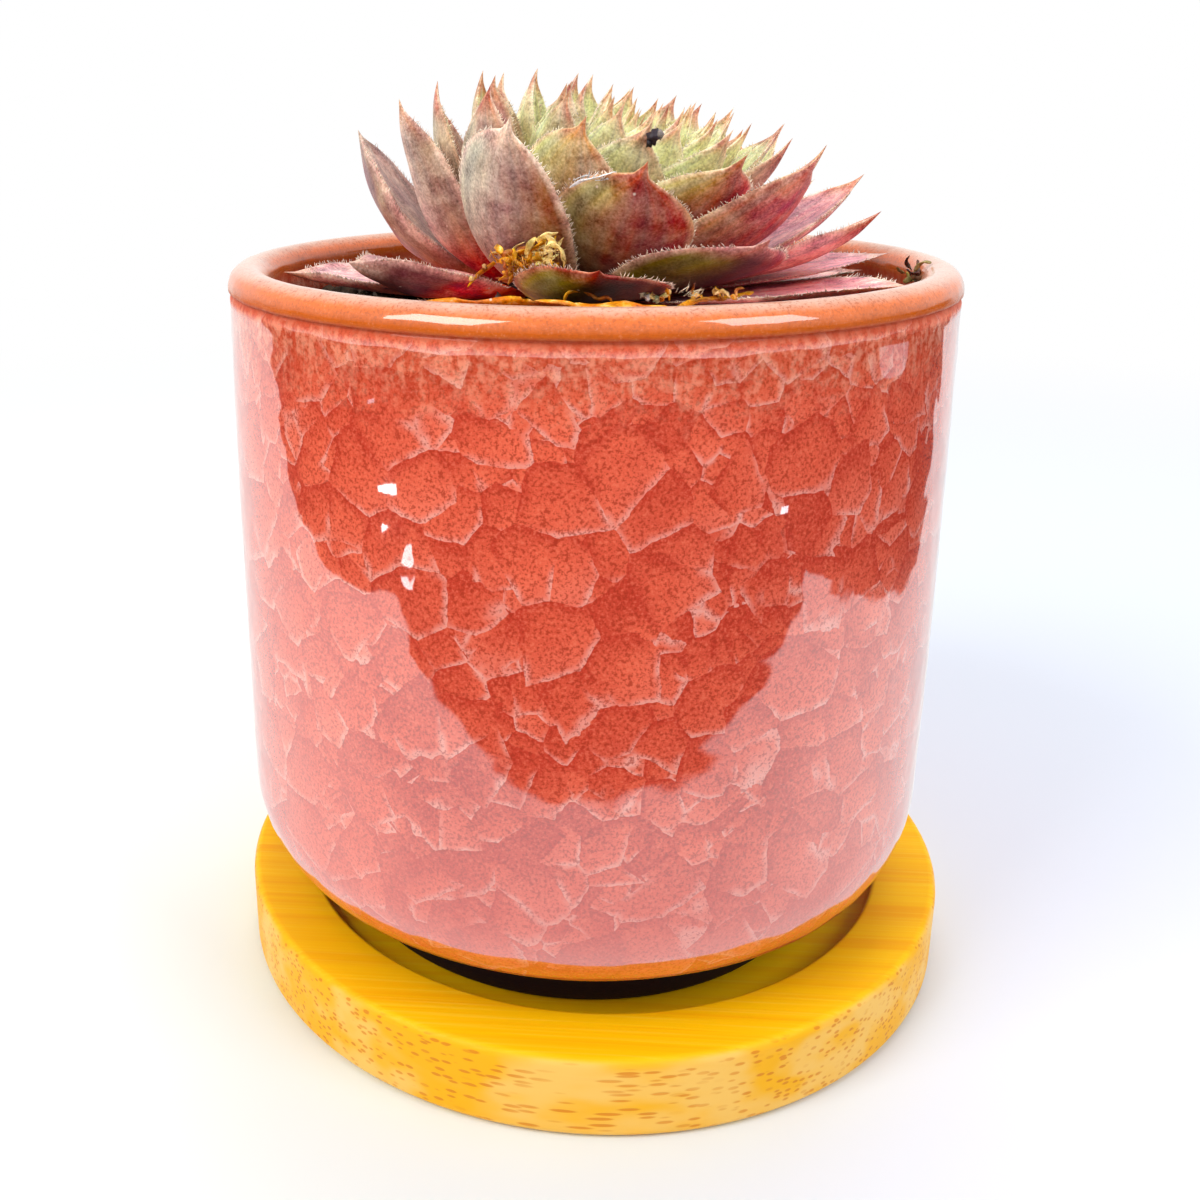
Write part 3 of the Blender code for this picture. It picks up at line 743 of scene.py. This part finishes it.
def heap(shell, middle, reach, count, size, colours):
    # many small curled shreds thrown together; sizes in mm
    for index in range(count):
        start = np.array(middle) + rng.uniform(-1, 1, 3) * np.array(reach)
        way = unit(rng.normal(size=3) * np.array((1.0, 0.5, 0.7)))
        bend = np.cross(way, rng.normal(size=3)) * 0.5
        length = size * rng.uniform(0.7, 1.4)
        path = [start + way * length * t + bend * length * t * (1 - t) * 1.6
                for t in (0.0, 0.35, 0.7, 1.0)]
        strip(shell, rng.uniform(0.16, 0.34), 0.35, colours[index % len(colours)], *path,
              twist=rng.uniform(-2, 2))


# withered bits and grit, and on leaf 13 a white strip and tuft that are a painted highlight,
# in mm, under the number of the leaf that each clings to; a strip's row is width, flatness,
# colour and path, a crumb's middle, radius and colour, and a tuft's and a heap's are middle,
# reach, count and size before the rest
gold, straw = (0.8, 0.36, 0.04), (0.9, 0.64, 0.26)
rust, amber = (0.42, 0.13, 0.02), (0.9, 0.4, 0.03)
litter = {
    0: [
        (strip, 0.2, 0.8, gold, (-3.1, -24, 75.4), (-2.9, -24.4, 76.8), (-1.5, -24.6, 77.1),
         (-0.2, -24.4, 76.4), (0.7, -24.2, 76.5), (1.4, -24, 75.4)),
        (strip, 0.28, 0.5, straw, (3.9, -21, 76.7), (4.5, -21.2, 76.2), (5.4, -21, 75.7)),
        (heap, (5.7, -21.4, 76.1), (1, 0.3, 0.3), 6, 1, (straw, gold)),
        (crumb, (3.7, -21.3, 76.5), 0.4, (0.72, 0.78, 0.58)),
        (crumb, (4.2, -21.4, 76.1), 0.32, (0.86, 0.86, 0.8)),
        (crumb, (5.1, -21.2, 75.9), 0.34, (0.6, 0.7, 0.4)),
        (crumb, (-9.1, -22, 76), 0.42, (0.05, 0.02, 0.015))],
    3: [
        (strip, 0.22, 0.8, gold, (-8.9, -14, 79.1), (-10.3, -15.7, 78.2), (-11.4, -17.4, 77.5),
         (-12.2, -19, 76.6)),
        (strip, 1.1, 0.22, (0.92, 0.3, 0.02), (-17.5, -27.2, 75.1), (-12.6, -28.8, 76.3),
         (-7.6, -29.6, 76.7), (-3.4, -29.9, 76.6), (1.6, -29.6, 76.5), (6, -28.8, 75.9)),
        (crumb, (-10.8, -16.7, 78.2), 0.26, straw),
        (crumb, (-11.9, -18.6, 77.3), 0.24, straw)],
    5: [
        (strip, 0.55, 0.3, gold, (6.5, -21.8, 75.1), (9.1, -20.4, 75.8), (11.5, -18.4, 75.7),
         (14.1, -17, 76.1)),
        (tuft, (7.9, -20.2, 76.3), (1.2, 0.5, 0.3), 20, 0.8, (0.5, -0.4, 0.6), (0.92, 0.78, 0.58)),
        (heap, (9.9, -19.8, 75.9), (2.6, 0.5, 0.3), 10, 1.1, (gold, straw, rust))],
    8: [
        (strip, 0.62, 0.25, gold, (-9.1, -19, 78.8), (-7.7, -20.1, 79.7), (-6.3, -21.2, 80.2),
         (-5.1, -22.2, 81.1)),
        (strip, 0.42, 0.35, straw, (-5.7, -21.8, 81), (-4.7, -22.5, 81.7), (-3.8, -22.8, 81.9)),
        (strip, 0.45, 0.3, straw, (-4.7, -22.5, 81), (-3.7, -22.8, 80.6), (-3.3, -22.6, 79.6),
         (-3.2, -22.2, 78.9)),
        (strip, 0.34, 0.5, rust, (-8.5, -20, 78.7), (-7.1, -21.2, 79.1), (-5.9, -21.8, 78.8),
         (-4.7, -22.3, 79.2)),
        (tuft, (-6.7, -21.3, 78.7), (1.8, 0.8, 0.5), 60, 1.2, (0, -0.5, 0.8), (0.9, 0.5, 0.12)),
        (tuft, (-4.5, -22.3, 79.8), (1, 0.6, 0.8), 34, 1, (0.4, -0.6, 0.2), (0.9, 0.64, 0.3)),
        (heap, (-6.8, -21, 79.1), (2.2, 0.6, 0.9), 46, 1.4, (amber, straw, rust, gold, amber)),
        (heap, (-4.5, -22.2, 80.1), (0.8, 0.5, 0.9), 18, 1.2, (straw, gold, straw))],
    10: [
        (strip, 0.3, 0.8, (0.1, 0.04, 0.02), (31, -7, 75.6), (31.6, -5, 76.6),
         (32, -3.4, 76.4), (32.3, -1.6, 77.3)),
        (heap, (31.4, -5.2, 76.2), (0.9, 1.6, 0.6), 9, 1.6,
         ((0.07, 0.03, 0.02), (0.16, 0.08, 0.03), (0.3, 0.24, 0.08)))],
    13: [
        # painted highlight: a white strip and tuft along the edge of leaf 13
        (strip, 0.2, 0.35, (0.93, 0.93, 0.96), (-2.9, -21.6, 85.6), (-1.9, -21.8, 86.2),
         (-0.6, -21.8, 86.5), (1.2, -21.5, 87)),
        (tuft, (-1, -21.5, 86.4), (1.6, 0.2, 0.2), 16, 0.7, (1, -0.1, 0.35),
         (0.93, 0.93, 0.95))],
    34: [
        (crumb, (4.5, -15.8, 89.7), 0.62, (0.03, 0.02, 0.03)),
        (crumb, (5, -15.7, 90), 0.45, (0.2, 0.16, 0.15)),
        (crumb, (4.1, -15.8, 89.3), 0.4, (0.02, 0.015, 0.02))],
}


for number in range(g.first, g.last + 1):
    name = f"leaf_{number - g.first + 1:02d}"
    slot = "old_leaf_skin" if number < 3 else "leaf_skin" if number < 21 else "young_leaf_skin"
    shell = Shell()
    leafForm(shell, number)
    for make, *values in litter.get(number, ()):
        make(shell, *values)
    shell.piece(f"houseleek_{name}", skins[slot], name)
shell = Shell()
for number in range(g.last + 1, g.youngest + 1):
    leafForm(shell, number)
shell.piece("houseleek_heart", skins["young_leaf_skin"], "heart")
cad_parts["crown"].data.materials[0] = stem
print("rosette: leaves and heart")


potForm = {
    "shift": (-1.2, -1.35), "top": 77.5, "radius": 37.52, "narrowing": 0.47, "narrowsFrom": 35,
    "wall": 4.45, "bead": 2.05, "beadReach": 37.2, "crease": 0.25, "creaseHeight": 75.1,
    "shoulder": 22, "shoulderReach": 7, "shoulderDrop": 9.5, "underEdge": 13,
    "footRadius": 27.2, "footWidth": 3.6, "footHeight": 2, "base": 4, "drain": 3.2,
    "footLevel": 6.05, "cornerLess": 0.9, "insideTop": 70.95, "steps": 300,
    "glazeThickness": 0.14, "throwing": 0.05, "dimple": 0.026, "dimpleSize": 3.9,
}


def spread(points, gap):
    # the line with points added so that none are further apart than the gap
    full = []
    for (a, b), (c, d) in zip(points, points[1:]):
        count = max(1, int(math.hypot(c - a, d - b) / gap))
        full += [(a + (c - a) * i / count, b + (d - b) * i / count) for i in range(count)]
    return full + [points[-1]]


def makePot(f):
    bead = (f.beadReach - f.bead, f.top - f.bead)
    low = -math.degrees(math.asin((f.shoulder - f.underEdge) / f.shoulderDrop))
    crease, foot, ring = f.creaseHeight, f.footLevel, f.footRadius

    def wall(height):
        # straight below, then a square rule draws it in towards the mouth
        share = max(0.0, height - f.narrowsFrom) / (crease - f.narrowsFrom)
        return f.radius - f.narrowing * share ** 2
    neck = wall(crease)
    outside = arc(bead, (f.bead, f.bead), 165, -8, 26)
    outside += [(neck - 0.6 * f.crease, crease + 0.13), (neck - f.crease, crease),
                (neck - 0.6 * f.crease, crease - 0.2)]
    outside += [(wall(h), h) for h in np.linspace(crease - 0.7, f.narrowsFrom, 9)]
    outside += arc((f.radius - f.shoulderReach, f.shoulder), (f.shoulderReach, f.shoulderDrop),
                   0, low, 22)
    inner, hollow = ring - f.footWidth, foot + f.footHeight
    floor = hollow + f.base
    under = [(ring + 0.6, foot + 3.2), (ring + 0.1, foot + 0.6), (ring - 0.15, foot + 0.15),
             (ring - 0.5, foot), (inner, foot), (inner - 0.4, foot + 0.3), (inner - 0.6, hollow),
             (f.drain, hollow), (f.drain, floor)]
    reach = f.shoulderReach - f.cornerLess
    inside = arc((f.radius - f.wall - reach, f.shoulder), (reach, f.shoulder - floor), -90, 0, 12)
    inside.append((f.radius - f.wall, f.insideTop))
    profile = np.array(spread(outside + under + inside + outside[:1], 1.1)[:-1])
    grid = turnedGrid(profile, f.steps)
    # the glaze stands proud of the clay down to a wavering line; throwing lines and slow
    # bulges break the perfect turning
    angle = np.arctan2(grid[..., 1], grid[..., 0])
    height = grid[..., 2]
    radius = np.hypot(grid[..., 0], grid[..., 1])
    outer = ease(radius, ring + 1, ring + 3)
    line = glazeLook["glazeLine"] + 0.22 * np.sin(5 * angle + 1.0) + 0.14 * np.sin(13 * angle)
    coat = f.glazeThickness * ease(height, line - 0.05, line + 0.9)
    spot = np.stack([np.cos(angle) * 1.2, np.sin(angle) * 1.2, height / 16.0], -1)
    waver = f.throwing * ripples(spot, 1.6, 5)
    dimples = ripples(grid, f.dimpleSize, 6, 7) + 0.6 * ripples(grid, 0.55 * f.dimpleSize, 7, 7)
    waver = waver + f.dimple * dimples * ease(height, 14, 16)
    factor = 1.0 + outer * (coat - f.glazeThickness + waver - f.throwing) / np.maximum(radius, 1.0)
    grid[..., 0] = grid[..., 0] * factor + f.shift[0]
    grid[..., 1] = grid[..., 1] * factor + f.shift[1]
    shell = Shell()
    shell.add(grid.reshape(-1, 3) * mm, loopFaces(*grid.shape[:2]))
    shell.piece("glazed_pot", glaze, "pot")


makePot(Values(**potForm))
print("pot: turned wall, rolled lip and foot")


saucerForm = {"radius": 40.2, "height": 8.8, "edge": 0.9, "recess": 33.2, "floor": 5.75,
              "recessEdge": 0.6, "steps": 320}


def makeSaucer(f):
    rim = f.radius - f.edge
    lip = f.recess + f.recessEdge
    soft = (f.recessEdge, f.recessEdge)
    profile = [(0.4, f.floor)]
    profile += arc((f.recess - f.recessEdge, f.floor + f.recessEdge), soft, -90, 0, 7)
    profile += arc((lip, f.height - f.recessEdge), soft, 180, 90, 7)
    profile += arc((rim, f.height - f.edge), (f.edge, f.edge), 90, 0, 9)
    profile += arc((rim, f.edge), (f.edge, f.edge), 0, -90, 9)
    profile.append((0.4, 0.0))
    grid = turnedGrid(spread(profile, 1.2), f.steps)
    # turning leaves the harder fibres a trace proud of the face
    grain = ripples(grid * np.array((0.02, 1.0, 0.0)), 1.3, 8)
    grid[..., 2] -= 0.018 * (1 + grain) * (grid[..., 2] > 1.0)
    shell = Shell()
    shell.rings(grid * mm)
    shell.piece("bamboo_saucer", bamboo, "saucer")


makeSaucer(Values(**saucerForm))
print("saucer: turned bamboo with a sunk floor")


soilForm = {"level": 71.75, "edge": 32.5, "bottom": 12.65, "rough": 0.55, "heaped": 1.1,
            "steps": 160, "rings": 60, "crumbs": 420, "crumbSize": (0.35, 1.1)}


def makeSoil(f):
    radius = np.linspace(0.3, f.edge, f.rings)
    profile = [(r, f.level) for r in radius]
    profile += [(f.edge, 68.0), (f.edge - 3.0, 26.0), (f.edge - 8.0, f.bottom), (0.3, f.bottom)]
    grid = turnedGrid(profile, f.steps, potForm["shift"])
    top = grid[:f.rings]
    lumps = ripples(top, 6.0, 1) * 0.5 + ripples(top, 2.2, 2) * 0.35 + ripples(top, 1.1, 3) * 0.2
    heaped = f.heaped * ease(radius, 29, 32.5)[:, None]
    top[..., 2] += f.rough * (lumps - 0.3) + heaped * (0.6 + 0.4 * lumps)
    shell = Shell()
    shell.rings(grid * mm)
    for _ in range(f.crumbs):
        turn, reach = rng.uniform(0, 2 * math.pi), f.edge * rng.uniform(0.25, 0.98) ** 0.5
        size = rng.uniform(*f.crumbSize)
        x, y = potForm["shift"]
        middle = (x + reach * math.cos(turn), y + reach * math.sin(turn), f.level + 0.2)
        crumb(shell, middle, size * rng.uniform(0.6, 1.0, 3), (1.0, 1.0, 1.0))
    shell.piece("soil_bed", soil, "soil")


makeSoil(Values(**soilForm))
print("soil: bed and crumbs")


studio = {
    "camera": (0, -135.86, 92.53), "pitch": 17.88, "yaw": 4.64, "roll": -0.24, "lens": 38,
    "lensShift": (0.0852, -0.0718),
    # strength of the room's light, and how much of it is missing low in front
    "world": 0.62, "frontLoss": 0.85,
    # name: place in m, width in m, power in W, colour
    "lamps": {"leftSoft": ((-0.42, -0.36, 0.52), 0.34, 3, (1, 0.965, 0.92)),
              "rightSoft": ((0.46, -0.26, 0.5), 0.3, 1.6, (0.93, 0.965, 1)),
              "topSoft": ((0.05, 0.25, 0.62), 0.36, 1.6, (1, 0.99, 0.98))},
    "aim": (0, 0, 0.05), "floorReach": 4, "floorLevel": -0.0001, "glintGap": 150,
    # the white sheet that mirrors in the glaze: its front edge as y at x 0 and y gained for
    # each x, then its left and right edges, each of two runs: x, the y where it is that x,
    # and x gained for each y
    "sheetFront": (-0.0965, 0.08),
    "sheetLeft": ((-0.141, -0.108, -0.62), (-0.209, 0.002, -1.66)),
    "sheetRight": ((0.173, -0.083, -0.148), (0.15, 0.072, 0.9)),
    # bright things that show only as glints: where in the glaze (mm), the way from there,
    # width and height (mm), colour, strength
    "glints": {
        "windowLeft": ((-17.5, -34.9, 61.1), (-0.844, -0.464, -0.27), (15, 4.6), (1, 0.98, 1), 6),
        "windowLow": ((-15.8, -35.8, 55.7), (-0.772, -0.548, -0.322), (7, 2.2), (1, 0.97, 1), 4),
        "windowRight": ((15.6, -34.7, 60.4), (0.848, -0.452, -0.277), (10, 4), (0.84, 0.92, 1),
                        4.5),
        "skyLeft": ((-18.9, -34.1, 69.3), (-0.904, -0.385, -0.189), (8, 2.6), (0.72, 0.84, 1),
                    1.6),
        "skyRight": ((24.9, -27.7, 72.3), (0.966, 0.205, -0.156), (36, 8), (0.78, 0.88, 1), 0.7)},
}


def makeWorld(look):
    # white to the camera and in the glaze; as light it is dim low in front of the object
    sheet = Sheet("studio", world)
    ray = sheet.node("LightPath")
    seen = sheet.other(ray, "Is Camera Ray").higher(sheet.other(ray, "Is Glossy Ray"))
    seen = seen.higher(sheet.other(ray, "Is Transmission Ray"))
    _, y, z = sheet.axes(sheet.other(sheet.node("TexCoord"), "Generated"))
    front = (y * -1.0).rise(0.15, 0.8) * z.rise(0.4, 0)
    light = (1 - front * look.frontLoss) * look.world
    back = sheet.node("Background", {"Color": (1.0, 1.0, 1.0),
                                     "Strength": light + seen * (1 - light)})
    sheet.node("OutputWorld", {0: back})


def addCard(name, points, sheet):
    # one flat face that belongs to the studio
    mesh = bpy.data.meshes.new(name)
    mesh.from_pydata(points.tolist(), [], [list(range(len(points)))])
    mesh.materials.append(sheet.block)
    card = addObject(name, mesh)
    return card


def makeFloor(look):
    # a wide disc: pale and shadowed near the object, plain white far off; seen in the glaze
    # it is a white sheet with a dark table past its edges
    sheet = Sheet("paper_floor")
    place = sheet.other(sheet.node("TexCoord"), "Object")
    x, y, _ = sheet.axes(place)
    away = sheet.other(sheet.vector("LENGTH", place), "Value")
    # painted light and shade: warmer on the left, darker and bluer on the right, as the lamps'
    # colours and the shadow fall
    paintedLightTint = sheet.mix((0.81, 0.875, 0.86), (0.725, 0.77, 0.86), x.rise(-0.05, 0.06))
    near = sheet.node("BsdfDiffuse", {"Color": paintedLightTint})
    ray = sheet.node("LightPath")
    white = sheet.node("Emission", {"Color": (1, 1, 1)})
    far = away.rise(0.12, 0.42) * sheet.other(ray, "Is Camera Ray")
    shown = sheet.node("MixShader", {0: far, 1: near, 2: white})
    sides = [[(y - start) * slope + edge for edge, start, slope in side]
             for side in (look.sheetLeft, look.sheetRight)]
    left, right = sides[0][0].lower(sides[0][1]), sides[1][0].higher(sides[1][1])
    on = (x - left).rise(-0.002, 0.002) * (right - x).rise(-0.002, 0.002)
    front, slope = look.sheetFront
    on = on * (y - x * slope - front).rise(-0.002, 0.002)
    paper = sheet.mix((1, 0.98, 0.97), (0.9, 0.97, 1), x.rise(-0.05, 0.12))
    paper = paper.to((0.5, 0.72, 0.77), away.rise(0.165, 0.085) * y.rise(-0.035, -0.075))
    mirror = sheet.node("Emission", {"Color": sheet.mix((0.02, 0.02, 0.02), paper, on)})
    shown = sheet.node("MixShader", {0: sheet.other(ray, "Is Glossy Ray"), 1: shown, 2: mirror})
    sheet.node("OutputMaterial", {0: shown})
    addCard("floor", turnedGrid([(look.floorReach, look.floorLevel)], 96)[0], sheet)


def makeLamps(look):
    for name, (spot, width, power, colour) in look.lamps.items():
        lamp = bpy.data.lights.new(name, "AREA")
        lamp.size, lamp.energy, lamp.color = width, power, colour
        holder = addObject(name, lamp)
        holder.location = spot
        holder.visible_glossy = name != "topSoft"
        aim = holder.location - Vector(look.aim)
        holder.rotation_euler = aim.to_track_quat("Z", "Y").to_euler()


def makeGlints(look):
    # upright cards a little way off, seen by nothing but the mirror of the glaze
    for name, (spot, way, (wide, tall), colour, strength) in look.glints.items():
        sheet = Sheet(name)
        light = sheet.node("Emission", {"Color": colour, "Strength": strength})
        sheet.node("OutputMaterial", {0: light})
        way = unit(np.array(way))
        across = unit(np.cross(way, (0.0, 0.0, 1.0)))
        up = np.cross(across, way)
        middle = np.array(spot) + look.glintGap * way
        square = np.array(((-1, -1), (1, -1), (1, 1), (-1, 1))) / 2.0 * (wide, tall)
        card = addCard(name, (middle + square @ np.array((across, up))) * mm, sheet)
        for ray in ("camera", "diffuse", "shadow", "transmission"):
            setattr(card, f"visible_{ray}", False)


def makeCamera(look):
    camera = addObject("camera", bpy.data.cameras.new("camera"))
    lens = camera.data
    lens.lens, lens.sensor_width, lens.clip_start = look.lens, 36.0, 0.005
    lens.shift_x, lens.shift_y = look.lensShift
    turn = Euler((math.radians(90 - look.pitch), 0, math.radians(look.yaw))).to_matrix().to_4x4()
    turn = turn @ Matrix.Rotation(math.radians(look.roll), 4, "Z")
    camera.matrix_world = Matrix.Translation([c * mm for c in look.camera]) @ turn
    bpy.context.scene.camera = camera


for makePart in (makeWorld, makeFloor, makeLamps, makeGlints, makeCamera):
    makePart(Values(**studio))
print("studio: floor, lamps and camera")
